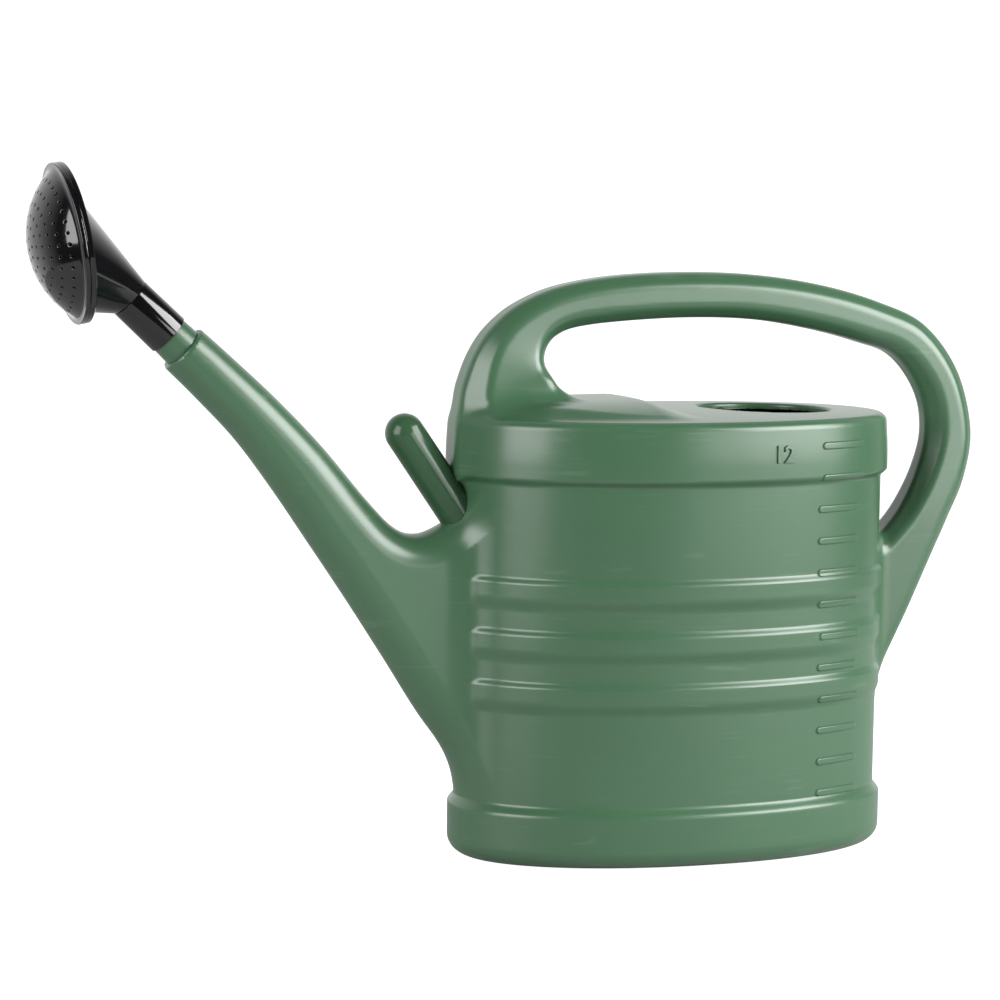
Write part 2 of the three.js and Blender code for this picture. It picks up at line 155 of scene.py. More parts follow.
@dataclass
class FlatLimb:
    """A limb that stands across the plane y = 0, such as the handle or the spout.

    Its outline in that plane runs along an upper and a lower edge, and its width across the plane
    changes along it. Its distance joins the signed distance to the outline with the distance to
    its two sides, by a round edge and, where chamfers are given, a bevel between them.

    Attributes:
        stations: upper edge x, z, lower edge x, z and half the width, one row per station.
        edge: radius of the edges, one per station.
        upper_chamfer: width of the bevel between the upper edge's face and the sides, if any.
        lower_chamfer: the same along the lower edge.
        step: pitch of the lattice that holds the fields.
        samples: points along each edge.
        margin: how far the fields reach past the outline.
        softness: square of the distance over which the widths of nearby stations mix.
        bevel_fillet: how softly a bevel meets the faces beside it.
        bevel_change: where, from the upper edge to the lower, one bevel gives way to the other.
    """

    stations: Sequence[tuple[float, float, float, float, float]]
    edge: Sequence[float]
    upper_chamfer: Sequence[float] = ()
    lower_chamfer: Sequence[float] = ()
    step: float = 1.5
    samples: int = 260
    margin: float = 30.0
    softness: float = 30.0
    bevel_fillet: float = 3.0
    bevel_change: tuple[float, float] = (0.35, 0.65)
    outline_field: PlaneField = field(init=False)
    width_field: PlaneField = field(init=False)
    edge_field: PlaneField = field(init=False)
    chamfer_field: PlaneField = field(init=False)

    def __post_init__(self) -> None:
        """Tabulates the outline's distance, half-width, edge radius and bevel over the plane."""
        plain = np.zeros(len(self.stations))
        bevels = [b if len(b) else plain for b in (self.upper_chamfer, self.lower_chamfer)]
        rows = spline(np.column_stack([self.stations, self.edge, *bevels]), self.samples)
        upper, lower = rows[:, 0:2], rows[:, 2:4]
        loop = np.vstack([upper, lower[::-1]])
        low, high = loop.min(0) - self.margin, loop.max(0) + self.margin
        xs = np.arange(low[0], high[0], self.step)
        zs = np.arange(low[1], high[1], self.step)
        grid = np.stack(np.meshgrid(xs, zs, indexing="ij"), -1).reshape(-1, 2)
        shape = (len(xs), len(zs))
        signed = self._signed_distance(grid, loop)

        def square_gaps(line: Array) -> Array:
            """Squares of the distances from every lattice point to every second point of a line."""
            return ((grid[:, None, :] - line[None, ::2, :]) ** 2).sum(-1)

        gap = square_gaps((upper + lower) / 2.0)
        weight = np.exp(-(gap - gap.min(1, keepdims=True)) / self.softness)
        weight /= weight.sum(1, keepdims=True)
        across, edge, upper_bevel, lower_bevel = (weight @ rows[::2, column] for column in (4, 5, 6, 7))
        reach = [np.sqrt(square_gaps(side).min(1)) for side in (upper, lower)]
        share = ramp(*self.bevel_change, reach[0] / (reach[0] + reach[1]))
        bevel = upper_bevel * (1.0 - share) + lower_bevel * share
        self.outline_field, self.width_field, self.edge_field, self.chamfer_field = (
            PlaneField(low, self.step, values.reshape(shape)) for values in (signed, across, edge, bevel)
        )

    @staticmethod
    def _signed_distance(points: Array, loop: Array) -> Array:
        """Distance to a closed polyline, negative inside by the crossing count of a ray along x."""
        start, end = loop, np.roll(loop, -1, axis=0)
        along = end - start
        length2 = np.maximum((along**2).sum(1), 1e-12)
        result = np.empty(len(points))
        for block in range(0, len(points), 20000):
            p = points[block : block + 20000, None, :]
            share = np.clip(((p - start) * along).sum(-1) / length2, 0.0, 1.0)
            nearest = start + share[..., None] * along
            distance = np.sqrt(((p - nearest) ** 2).sum(-1).min(1))
            spans = (start[:, 1] > p[..., 1]) != (end[:, 1] > p[..., 1])
            rise = np.where(np.abs(along[:, 1]) < 1e-9, 1e-9, along[:, 1])
            cross_x = start[:, 0] + (p[..., 1] - start[:, 1]) * along[:, 0] / rise
            inside = ((spans & (p[..., 0] < cross_x)).sum(1) % 2).astype(bool)
            result[block : block + 20000] = np.where(inside, -distance, distance)
        return result

    def distance(self, p: Array, inset: float = 0.0) -> Array:
        """Signed distance of points to the limb, made thinner all round by inset."""
        face = self.outline_field(p[:, 0], p[:, 2]) + inset
        side = np.abs(p[:, 1]) - self.width_field(p[:, 0], p[:, 2]) + inset
        radius = np.maximum(self.edge_field(p[:, 0], p[:, 2]) - inset, 0.5)
        body = trim(face, side, radius)
        if len(self.upper_chamfer):
            depth = self.chamfer_field(p[:, 0], p[:, 2])
            bevel = (face + side + depth) / math.sqrt(2.0)
            body = -join(-body, -bevel, self.bevel_fillet)
        return body


@dataclass
class TankForm:
    """The oval tank: a superellipse in plan, bands, ribs, a round-edged base and a crowned deck.

    Attributes:
        half_length: half the plain wall's length along X.
        half_width: half its width along Y at reference_height.
        exponent: the superellipse's power; 2 is an ellipse.
        widening: how much half_width grows per millimetre of height.
        band_proud: how far the bands stand out; band_lean is how much the top band leans back in.
        bottom_band_step: where the step at bottom_band_top starts and ends, from that height.
        top_band_step: height of the step that starts at top_band_bottom.
        lean_from: where the lean starts above the top band's foot, and ends above the deck's edge.
        rib_tops: heights of the three ribs' tops; each is rib_height high and rib_proud thick.
        rib_foot: height of a rib's soft foot.
        rib_step: where a rib's upper step starts and ends, from its top.
        base_radius: rounding of the base.
        shoulder_radius: rounding of the deck's edge, which is at height deck_edge.
        crown: how far the deck rises to its middle.
        hump_rise: height of the hump in front of the filler, whose back is at X hump_end.
        hump_ramp: length of the hump's back slope; hump_half_width is its reach along Y.
    """

    half_length: float = 154.0
    half_width: float = 93.7
    exponent: float = 2.1
    widening: float = 0.042
    reference_height: float = 150.0
    band_proud: float = 4.5
    band_lean: float = 2.0
    bottom_band_top: float = 41.0
    bottom_band_step: tuple[float, float] = (-5.4, 2.0)
    top_band_bottom: float = 260.0
    top_band_step: float = 6.0
    lean_from: tuple[float, float] = (14.0, 12.0)
    rib_tops: tuple[float, float, float] = (127.4, 162.7, 198.0)
    rib_height: float = 22.5
    rib_proud: float = 2.3
    rib_foot: float = 9.0
    rib_step: tuple[float, float] = (-4.1, 0.8)
    base_radius: float = 13.0
    shoulder_radius: float = 6.0
    deck_edge: float = 304.6
    crown: float = 3.2
    hump_rise: float = 8.5
    hump_end: float = -8.0
    hump_ramp: float = 30.0
    hump_half_width: float = 95.0

    def plan(self, p: Array) -> Array:
        """Distance to the plain wall: the superellipse's level, over the length of its slope."""
        a = self.half_length
        b = self.half_width + self.widening * (p[:, 2] - self.reference_height)
        n = self.exponent
        u, v = np.abs(p[:, 0]) / a, np.abs(p[:, 1]) / b
        level = np.maximum((u**n + v**n) ** (1.0 / n), 1e-3)
        slope = np.hypot((u / level) ** (n - 1) / a, (v / level) ** (n - 1) / b)
        return (level - 1.0) / slope

    def relief(self, z: Array, rib_share: Array) -> Array:
        """How far bands and ribs stand out: each rib has a soft foot and a crisp upper step."""
        start, end = (self.bottom_band_top + offset for offset in self.bottom_band_step)
        out = self.band_proud * (1.0 - ramp(start, end, z))
        foot = self.top_band_bottom
        out = out + self.band_proud * ramp(foot, foot + self.top_band_step, z)
        out = out - self.band_lean * ramp(foot + self.lean_from[0], self.deck_edge + self.lean_from[1], z)
        for top in self.rib_tops:
            foot = ramp(top - self.rib_height, top - self.rib_height + self.rib_foot, z)
            step = 1.0 - ramp(top + self.rib_step[0], top + self.rib_step[1], z)
            out = out + self.rib_proud * rib_share * foot * step
        return out

    def deck_height(self, x: Array, y: Array) -> Array:
        """Height of the deck: a low crown, and a hump between the handle and the filler."""
        b = self.half_width + self.widening * (300.0 - self.reference_height)
        n = self.exponent
        reach = (np.abs(x) / self.half_length) ** n + (np.abs(y) / b) ** n
        crown = self.crown * np.maximum(0.0, 1.0 - reach ** (2.0 / n))
        along = ramp(0.0, 1.0, (self.hump_end - x) / self.hump_ramp)
        across = ramp(0.0, 1.0, 1.0 - (y / self.hump_half_width) ** 2)
        edge = ramp(0.0, 0.4, 1.0 - reach)
        return self.deck_edge + crown + self.hump_rise * along * across * edge

    def outside(self, p: Array, rib_share: Array) -> Array:
        """Distance to the tank's outside: wall with relief, trimmed by base and deck."""
        wall = self.plan(p) - self.relief(p[:, 2], rib_share)
        standing = trim(wall, -p[:, 2], self.base_radius)
        return trim(standing, p[:, 2] - self.deck_height(p[:, 0], p[:, 1]), self.shoulder_radius)

    def inside(self, p: Array, wall: float) -> Array:
        """Distance to the tank's hollow, a wall's thickness inside its outside without relief."""
        side = self.plan(p) - self.relief(p[:, 2], np.zeros(len(p))) + wall
        standing = trim(side, wall - p[:, 2], self.base_radius - wall)
        deck = p[:, 2] - self.deck_height(p[:, 0], p[:, 1]) + wall
        return trim(standing, deck, self.shoulder_radius - wall)


# ---------------------------------------------------------------- meshes


@dataclass
class Surface:
    """Points in metres, faces of three or four corners, and optional outward normals."""

    points: Array
    faces: Array
    normals: Array | None = None

    def placed(self, matrix: Matrix) -> "Surface":
        """The surface moved by a rigid matrix whose place is in metres."""
        m = np.array(matrix)
        turn = m[:3, :3]
        normals = None if self.normals is None else self.normals @ turn.T
        return Surface(self.points @ turn.T + m[:3, 3], self.faces, normals)

    def only(self, keep: Array) -> "Surface":
        """The faces that keep marks, with the points that no face uses left out."""
        faces = self.faces[keep]
        used, index = np.unique(faces, return_inverse=True)
        normals = None if self.normals is None else self.normals[used]
        return Surface(self.points[used], index.reshape(faces.shape), normals)


def add_object(name: str, data: bpy.types.ID | None) -> bpy.types.Object:
    """Makes an object at the origin and links it to the scene."""
    made = bpy.data.objects.new(name, data)
    bpy.context.scene.collection.objects.link(made)
    return made


def make_piece(
    name: str, surface: Surface, material: bpy.types.Material, sharp: float = 40.0
) -> bpy.types.Object:
    """Turns a surface into a smooth-shaded object at the origin.

    Args:
        name: the piece's name.
        surface: its mesh; given normals are kept as they are.
        material: what it is made of.
        sharp: without given normals, edges that turn more than this many degrees stay crisp.

    Returns:
        The new object, linked to the scene.
    """
    mesh = bpy.data.meshes.new(name)
    mesh.from_pydata(surface.points.tolist(), [], surface.faces.tolist())
    mesh.validate()
    mesh.shade_smooth()
    if surface.normals is None:
        mesh.set_sharp_from_angle(angle=math.radians(sharp))
    else:
        mesh.normals_split_custom_set_from_vertices(surface.normals.tolist())
    mesh.materials.append(material)
    return add_object(name, mesh)


def grid_faces(rows: int, columns: int, wrap_rows: bool = False, wrap_columns: bool = True) -> Array:
    """Quads over a grid of points stored row by row, which may close on itself either way."""
    spans = (rows if wrap_rows else rows - 1, columns if wrap_columns else columns - 1)
    r, c = (index.ravel() for index in np.meshgrid(*map(np.arange, spans), indexing="ij"))
    up, over = (r + 1) % rows, (c + 1) % columns
    return np.column_stack([r * columns + c, r * columns + over, up * columns + over, up * columns + c])


def circles(origin: Array, axis: Array, profile: Sequence[tuple[float, float]], segments: int) -> Array:
    """Circles about an axis.

    A point is the origin, plus the height times the axis, plus the radius times
    (cos t · side + sin t · (axis × side)), where side is Y.

    Args:
        origin: where height is nought, in millimetres.
        axis: the unit axis, in the plane y = 0.
        profile: the circles' radius and height pairs.
        segments: points round each circle.

    Returns:
        The points by circle and by place round it.
    """
    pairs = np.asarray(profile, float)
    side = np.array([0.0, 1.0, 0.0])
    other = np.cross(axis, side)
    t = np.linspace(0.0, 2.0 * math.pi, segments, endpoint=False)[:, None]
    spokes = np.cos(t) * side + np.sin(t) * other
    return origin + pairs[:, None, 1:2] * axis + pairs[:, None, 0:1] * spokes


def soften(profile: Sequence[tuple[float, float]], radius: float, closed: bool, steps: int = 4) -> Array:
    """Rounds the corners of a profile: each corner becomes a short quadratic curve of that reach.

    Args:
        profile: its corners as pairs.
        radius: how far along each side the rounding starts, at most 45% of the side.
        closed: whether the last corner joins the first.
        steps: spans in each rounded corner.

    Returns:
        The rounded profile's points.
    """
    corners = np.asarray(profile, float)
    out = []
    count = len(corners)
    for i, corner in enumerate(corners):
        if not closed and i in (0, count - 1):
            out.append(corner)
            continue
        before, after = corners[i - 1] - corner, corners[(i + 1) % count] - corner
        near, far = np.linalg.norm(before), np.linalg.norm(after)
        first = corner + before / near * min(radius, 0.45 * near)
        last = corner + after / far * min(radius, 0.45 * far)
        t = np.linspace(0.0, 1.0, steps + 1)[:, None]
        out.extend((1 - t) ** 2 * first + 2 * t * (1 - t) * corner + t * t * last)
    return np.array(out)


def turned(profile: Array, origin: Array, axis: Array, segments: int, closed: bool) -> Surface:
    """Spins a profile of radius and height pairs about an axis from an origin in millimetres."""
    profile = np.column_stack([np.maximum(profile[:, 0], 0.01), profile[:, 1]])
    points = circles(origin, axis, profile, segments)
    return Surface(points.reshape(-1, 3) * MM, grid_faces(len(profile), segments, closed))


def surface_net(level: Distance, xs: Array, ys: Array, zs: Array, rounds: int = 4) -> Surface:
    """Meshes the place where a distance is nought, on a lattice whose lines may be uneven.

    Every cell that the surface crosses gets one point, the mean of where its edges are crossed,
    and every crossed lattice line gets a quad between its four cells. Newton's steps then carry
    each point on to the surface, and the slope of the distance there is its normal.

    Args:
        level: the distance, in millimetres, of an array of points.
        xs: lattice planes along X.
        ys: lattice planes along Y.
        zs: lattice planes along Z.
        rounds: how many Newton's steps to take.

    Returns:
        The surface in millimetres, with normals.
    """
    shape = (len(xs), len(ys), len(zs))
    lattice = np.stack(np.meshgrid(xs, ys, zs, indexing="ij"), -1).reshape(-1, 3)
    values = np.concatenate([level(part) for part in np.array_split(lattice, 24)]).reshape(shape)
    inside = values < 0.0
    corners = [(a, b, c) for a in (0, 1) for b in (0, 1) for c in (0, 1)]
    count = sum(inside[a : shape[0] - 1 + a, b : shape[1] - 1 + b, c : shape[2] - 1 + c].astype(np.int8)
                for a, b, c in corners)
    cells = np.argwhere((count > 0) & (count < 8))
    number = np.full(count.shape, -1)
    number[tuple(cells.T)] = np.arange(len(cells))
    lines = (xs, ys, zs)
    total, hits = np.zeros((len(cells), 3)), np.zeros(len(cells))
    for axis in range(3):
        others = [o for o in range(3) if o != axis]
        for a, b in ((0, 0), (0, 1), (1, 0), (1, 1)):
            low = cells.copy()
            low[:, others[0]] += a
            low[:, others[1]] += b
            high = low.copy()
            high[:, axis] += 1
            f0, f1 = values[tuple(low.T)], values[tuple(high.T)]
            crossed = (f0 < 0.0) != (f1 < 0.0)
            share = np.where(crossed, f0 / np.where(crossed, f0 - f1, 1.0), 0.0)
            here = np.stack([lines[k][low[:, k]] for k in range(3)], -1)
            here[:, axis] += share * (lines[axis][high[:, axis]] - lines[axis][low[:, axis]])
            total += here * crossed[:, None]
            hits += crossed
    points = total / hits[:, None]
    faces = []
    for axis in range(3):
        b, c = (axis + 1) % 3, (axis + 2) % 3
        head = [slice(None)] * 3
        tail = [slice(None)] * 3
        head[axis], tail[axis] = slice(0, -1), slice(1, None)
        first, last = inside[tuple(head)], inside[tuple(tail)]
        edges = np.argwhere(first != last)
        edges = edges[(edges[:, b] > 0) & (edges[:, c] > 0)]
        edges = edges[(edges[:, b] < shape[b] - 1) & (edges[:, c] < shape[c] - 1)]
        quad = []
        for db, dc in ((-1, -1), (0, -1), (0, 0), (-1, 0)):
            cell = edges.copy()
            cell[:, b] += db
            cell[:, c] += dc
            quad.append(number[tuple(cell.T)])
        quad = np.stack(quad, -1)
        outward = first[tuple(edges.T)]
        quad[~outward] = quad[~outward][:, ::-1]
        faces.append(quad)
    points, normals = settle(level, points, rounds)
    return Surface(points, np.vstack(faces), normals)


def settle(level: Distance, points: Array, rounds: int) -> tuple[Array, Array]:
    """Moves points on to a level set by Newton's steps and returns them with its unit slope."""
    reach = 0.12
    slope = np.zeros_like(points)
    for _ in range(rounds):
        for axis in range(3):
            shift = np.zeros(3)
            shift[axis] = reach
            slope[:, axis] = (level(points + shift) - level(points - shift)) / (2.0 * reach)
        size2 = np.maximum((slope**2).sum(1), 1e-6)
        step = (level(points) / size2)[:, None] * slope
        length = np.maximum(np.linalg.norm(step, axis=1, keepdims=True), 1e-9)
        points = points - step * np.minimum(1.0, 1.2 / length)
    return points, slope / np.linalg.norm(slope, axis=1, keepdims=True)


def uneven_lines(
    low: float, high: float, coarse: float, fine: float, zones: Sequence[tuple[float, float]]
) -> Array:
    """Lattice planes from low to high, coarse apart, but fine apart inside the given zones."""
    lines = [low]
    while lines[-1] < high:
        here = lines[-1]
        is_fine = any(start <= here + fine and here < end for start, end in zones)
        ahead = [start for start, _ in zones if start > here]
        step = fine if is_fine else coarse
        if not is_fine and ahead and here + coarse > ahead[0]:
            step = max(ahead[0] - here, fine)
        lines.append(here + step)
    return np.array(lines)


# ---------------------------------------------------------------- materials


class Nodes:
    """A short hand for building one node tree."""

    def __init__(self, tree: bpy.types.NodeTree) -> None:
        """Keeps the tree that the nodes go into."""
        self.tree = tree

    def add(self, kind: str, **settings: object) -> bpy.types.Node:
        """Adds a node of a kind and sets its properties."""
        node = self.tree.nodes.new(kind)
        for name, value in settings.items():
            setattr(node, name, value)
        return node

    def wire(self, value: object, socket: bpy.types.NodeSocket) -> None:
        """Puts a number or a colour on a socket, or links another socket to it."""
        if isinstance(value, bpy.types.NodeSocket):
            self.tree.links.new(value, socket)
        else:
            socket.default_value = value

    def math(self, operation: str, first: object, second: object = 0.0) -> bpy.types.NodeSocket:
        """One Math node's result."""
        node = self.add("ShaderNodeMath", operation=operation)
        self.wire(first, node.inputs[0])
        self.wire(second, node.inputs[1])
        return node.outputs[0]

    def spread(
        self, value: object, low: float, high: float, to_low: float, to_high: float
    ) -> bpy.types.NodeSocket:
        """Maps a value from one range on to another, held at its ends."""
        node = self.add("ShaderNodeMapRange", clamp=True)
        for place, number in enumerate((value, low, high, to_low, to_high)):
            self.wire(number, node.inputs[place])
        return node.outputs[0]

    def noise(
        self, place: object, scale: float, detail: float, rough: float = 0.5
    ) -> bpy.types.NodeSocket:
        """A Noise node's value at a place."""
        node = self.add("ShaderNodeTexNoise")
        inputs = {"Vector": place, "Scale": scale, "Detail": detail, "Roughness": rough}
        for label, value in inputs.items():
            self.wire(value, node.inputs[label])
        return node.outputs[0]

    def stretched(self, place: object, scale: Sequence[float], turn: Sequence[float]) -> object:
        """A place turned and scaled by a Mapping node, which draws a pattern out."""
        node = self.add("ShaderNodeMapping")
        self.wire(place, node.inputs["Vector"])
        self.wire(tuple(turn), node.inputs["Rotation"])
        self.wire(tuple(scale), node.inputs["Scale"])
        return node.outputs[0]


def group(name: str, inputs: dict[str, float], outputs: Sequence[str]) -> tuple[Nodes, object, object]:
    """Starts a shader node group whose first input is a place.

    Args:
        name: the group's name.
        inputs: its number inputs and their defaults.
        outputs: its number outputs.

    Returns:
        The builder, the group's input node and its output node.
    """
    tree = bpy.data.node_groups.new(name, "ShaderNodeTree")
    tree.interface.new_socket("Place", in_out="INPUT", socket_type="NodeSocketVector")
    for label, value in inputs.items():
        socket = tree.interface.new_socket(label, in_out="INPUT", socket_type="NodeSocketFloat")
        socket.default_value = value
    for label in outputs:
        tree.interface.new_socket(label, in_out="OUTPUT", socket_type="NodeSocketFloat")
    nodes = Nodes(tree)
    return nodes, nodes.add("NodeGroupInput"), nodes.add("NodeGroupOutput")


def rub_group() -> bpy.types.NodeTree:
    """Faint rub marks: noise drawn out along X, in patches, for plastic dragged over shelves."""
    nodes, given, put = group("rub_marks", {"Amount": 1.0}, ["Mask"])
    place = given.outputs["Place"]
    drawn = nodes.noise(nodes.stretched(place, (9, 60, 520), (0, 0.05, 0)), 1.0, 3.0, 0.6)
    lines = nodes.spread(drawn, 0.56, 0.76, 0.0, 1.0)
    patches = nodes.spread(nodes.noise(place, 13.0, 2.0), 0.46, 0.66, 0.0, 1.0)
    both = nodes.math("MULTIPLY", lines, patches)
    nodes.wire(nodes.math("MULTIPLY", both, given.outputs["Amount"]), put.inputs["Mask"])
    return nodes.tree


def scratch_group() -> bpy.types.NodeTree:
    """Thin scratches: the narrow zero lines of a drawn-out noise, kept only in a few patches."""
    nodes, given, put = group("scratches", {"Amount": 1.0}, ["Mask"])
    place = given.outputs["Place"]
    total = None
    for turn, scale in ((0.75, 90.0), (-0.4, 70.0), (1.2, 80.0)):
        thin = scale * 0.025
        drawn = nodes.noise(nodes.stretched(place, (thin, thin, scale), (0.1, turn, 0.1)), 1.0, 0.0)
        near = nodes.math("ABSOLUTE", nodes.math("SUBTRACT", drawn, 0.5))
        line = nodes.spread(near, 0.004, 0.014, 1.0, 0.0)
        spots = nodes.noise(nodes.stretched(place, (34, 34, 34), (turn, 0, 1)), 1.0, 0.0)
        patch = nodes.spread(spots, 0.66, 0.74, 0, 1)
        kept = nodes.math("MULTIPLY", line, patch)
        total = kept if total is None else nodes.math("MAXIMUM", total, kept)
    nodes.wire(nodes.math("MULTIPLY", total, given.outputs["Amount"]), put.inputs["Mask"])
    return nodes.tree


def skin_group() -> bpy.types.NodeTree:
    """The mould's satin texture: a fine grain over slow waves where the wall cooled unevenly."""
    nodes, given, put = group("mould_skin", {"Grain": 1.0, "Waves": 1.0}, ["Height", "Tone"])
    place = given.outputs["Place"]
    grain = nodes.noise(place, 1100.0, 2.0)
    waves = nodes.noise(place, 26.0, 2.0)
    fine = nodes.math("MULTIPLY", grain, given.outputs["Grain"])
    slow = nodes.math("MULTIPLY", waves, given.outputs["Waves"])
    nodes.wire(nodes.math("ADD", fine, slow), put.inputs["Height"])
    nodes.wire(nodes.noise(place, 7.0, 3.0), put.inputs["Tone"])
    return nodes.tree


@dataclass(frozen=True)
class Plastic:
    """A moulded plastic: a pigment, a gloss, and how much it is rubbed and scratched.

    Attributes:
        name: the material's name.
        colour: the pigment in linear light.
        worn: the paler colour of rubbed places.
        gloss: roughness of the clean surface.
        dull: roughness of the rubbed surface.
        rubs: amount of rub marks.
        scratches: amount of scratches.
        grain: depth of the fine texture in millimetres.
        waves: depth of the slow waves in millimetres.
        ior: index of refraction.
    """

    name: str
    colour: tuple[float, float, float]
    worn: tuple[float, float, float]
    gloss: float
    dull: float
    rubs: float
    scratches: float
    grain: float
    waves: float
    ior: float = 1.5

    def make(self, groups: dict[str, bpy.types.NodeTree]) -> bpy.types.Material:
        """Builds the material.

        Args:
            groups: the shared node groups by name.

        Returns:
            The new material.
        """
        material = bpy.data.materials.new(self.name)
        material.use_nodes = True
        material.node_tree.nodes.clear()
        nodes = Nodes(material.node_tree)
        shader = nodes.add("ShaderNodeBsdfPrincipled")
        output = nodes.add("ShaderNodeOutputMaterial")
        nodes.wire(shader.outputs[0], output.inputs["Surface"])
        place = nodes.add("ShaderNodeTexCoord").outputs["Object"]
        masks = {}
        for name, values in (
            ("rub_marks", {"Amount": self.rubs}),
            ("scratches", {"Amount": self.scratches}),
            ("mould_skin", {"Grain": self.grain, "Waves": self.waves}),
        ):
            node = nodes.add("ShaderNodeGroup", node_tree=groups[name])
            nodes.wire(place, node.inputs["Place"])
            for label, value in values.items():
                nodes.wire(value, node.inputs[label])
            masks[name] = node
        rub, scratch = masks["rub_marks"].outputs[0], masks["scratches"].outputs[0]
        wear = nodes.math("MAXIMUM", rub, scratch)
        tone = nodes.spread(masks["mould_skin"].outputs["Tone"], 0.3, 0.7, 0.93, 1.07)
        shade = nodes.add("ShaderNodeHueSaturation")
        nodes.wire((*self.colour, 1.0), shade.inputs["Color"])
        nodes.wire(tone, shade.inputs["Value"])
        mix = nodes.add("ShaderNodeMix", data_type="RGBA")
        nodes.wire(wear, mix.inputs[0])
        nodes.wire(shade.outputs[0], mix.inputs[6])
        nodes.wire((*self.worn, 1.0), mix.inputs[7])
        nodes.wire(mix.outputs[2], shader.inputs["Base Color"])
        nodes.wire(nodes.spread(wear, 0.0, 1.0, self.gloss, self.dull), shader.inputs["Roughness"])
        shader.inputs["IOR"].default_value = self.ior
        bump = nodes.add("ShaderNodeBump")
        bump.inputs["Strength"].default_value = 1.0
        bump.inputs["Distance"].default_value = MM
        nodes.wire(masks["mould_skin"].outputs["Height"], bump.inputs["Height"])
        nodes.wire(bump.outputs[0], shader.inputs["Normal"])
        return material


CAN_GREEN = Plastic(
    "can_green", colour=(0.0335, 0.0825, 0.0420), worn=(0.070, 0.130, 0.080),
    gloss=0.30, dull=0.40, rubs=0.26, scratches=0.32, grain=0.005, waves=0.22,
)
PEG_GREEN = Plastic(
    "peg_green", colour=(0.024, 0.062, 0.029), worn=(0.05, 0.110, 0.060),
    gloss=0.20, dull=0.32, rubs=0.0, scratches=0.0, grain=0.003, waves=0.08, ior=1.34,
)
# The inside's green is the can's green darkened: painted shade for the hollow inside the can.
LINING_GREEN_PAINTED_SHADE = Plastic(
    "lining_green_painted_shade", colour=(0.018, 0.050, 0.024), worn=(0.035, 0.08, 0.045),
    gloss=0.45, dull=0.5, rubs=0.2, scratches=0.0, grain=0.02, waves=0.4,
)
ROSE_BLACK = Plastic(
    "rose_black", colour=(0.0018, 0.0018, 0.0023), worn=(0.006, 0.006, 0.007),
    gloss=0.09, dull=0.24, rubs=0.15, scratches=0.2, grain=0.001, waves=0.04,
)


# ---------------------------------------------------------------- the can


SPOUT_STATIONS = (
    (-363.2, 383.5, -385.0, 361.5, 16.6),
    (-339.8, 365.1, -363.4, 339.8, 17.3),
    (-318.5, 346.7, -344.0, 321.0, 17.9),
    (-287.2, 318.3, -315.7, 291.6, 18.7),
    (-255.5, 286.2, -289.6, 257.6, 19.6),
    (-223.4, 248.9, -262.6, 218.8, 20.6),
    (-203.0, 229.0, -237.0, 181.5, 21.4),
    (-186.0, 224.5, -209.0, 139.0, 22.0),
    (-166.0, 231.0, -178.0, 92.0, 22.5),
    (-140.0, 236.0, -140.0, 48.0, 23.0),
)
HANDLE_STATIONS = (
    (-161.0, 261.0, -80.0, 261.0, 33.0),
    (-161.0, 290.0, -80.0, 285.0, 31.0),
    (-158.5, 318.0, -80.0, 309.0, 27.0),
    (-154.5, 333.0, -93.0, 326.5, 23.0),
    (-147.5, 349.0, -98.7, 339.0, 20.5),
    (-136.5, 364.5, -96.5, 350.0, 18.5),
    (-117.5, 379.8, -89.0, 358.5, 17.5),
    (-88.0, 392.0, -74.0, 364.2, 17.0),
    (-45.0, 399.3, -41.0, 368.0, 17.0),
    (10.0, 401.7, 10.5, 370.3, 17.0),
    (63.0, 399.5, 59.0, 368.5, 17.0),
    (112.0, 392.2, 103.5, 361.5, 17.0),
    (155.0, 380.5, 141.5, 352.0, 17.0),
    (191.0, 364.5, 169.5, 341.5, 17.0),
    (218.0, 332.0, 189.0, 316.5, 17.0),
    (230.0, 290.0, 194.5, 289.0, 17.0),
    (225.0, 255.0, 188.5, 262.0, 17.5),
    (211.5, 225.0, 176.0, 236.5, 18.0),
    (198.5, 198.5, 161.0, 217.5, 18.0),
    (176.0, 152.0, 140.0, 194.0, 18.0),
    (150.0, 101.0, 119.0, 117.0, 18.0),
)
HANDLE_OUTER_BEVELS = (
    (22.0, 21.0, 17.0, 13.0, 10.5, 9.0, 8.5) + (8.0,) * 5 + (8.2, 8.6, 9.0, 9.0, 8.6, 8.0, 7.0, 6.0, 6.0)
)
HANDLE_INNER_BEVELS = (
    (4.0, 4.0, 4.0, 5.0, 6.0, 7.0) + (8.0,) * 7 + (8.6, 10.0, 10.5, 10.0, 9.0, 8.0, 7.0, 6.0)
)


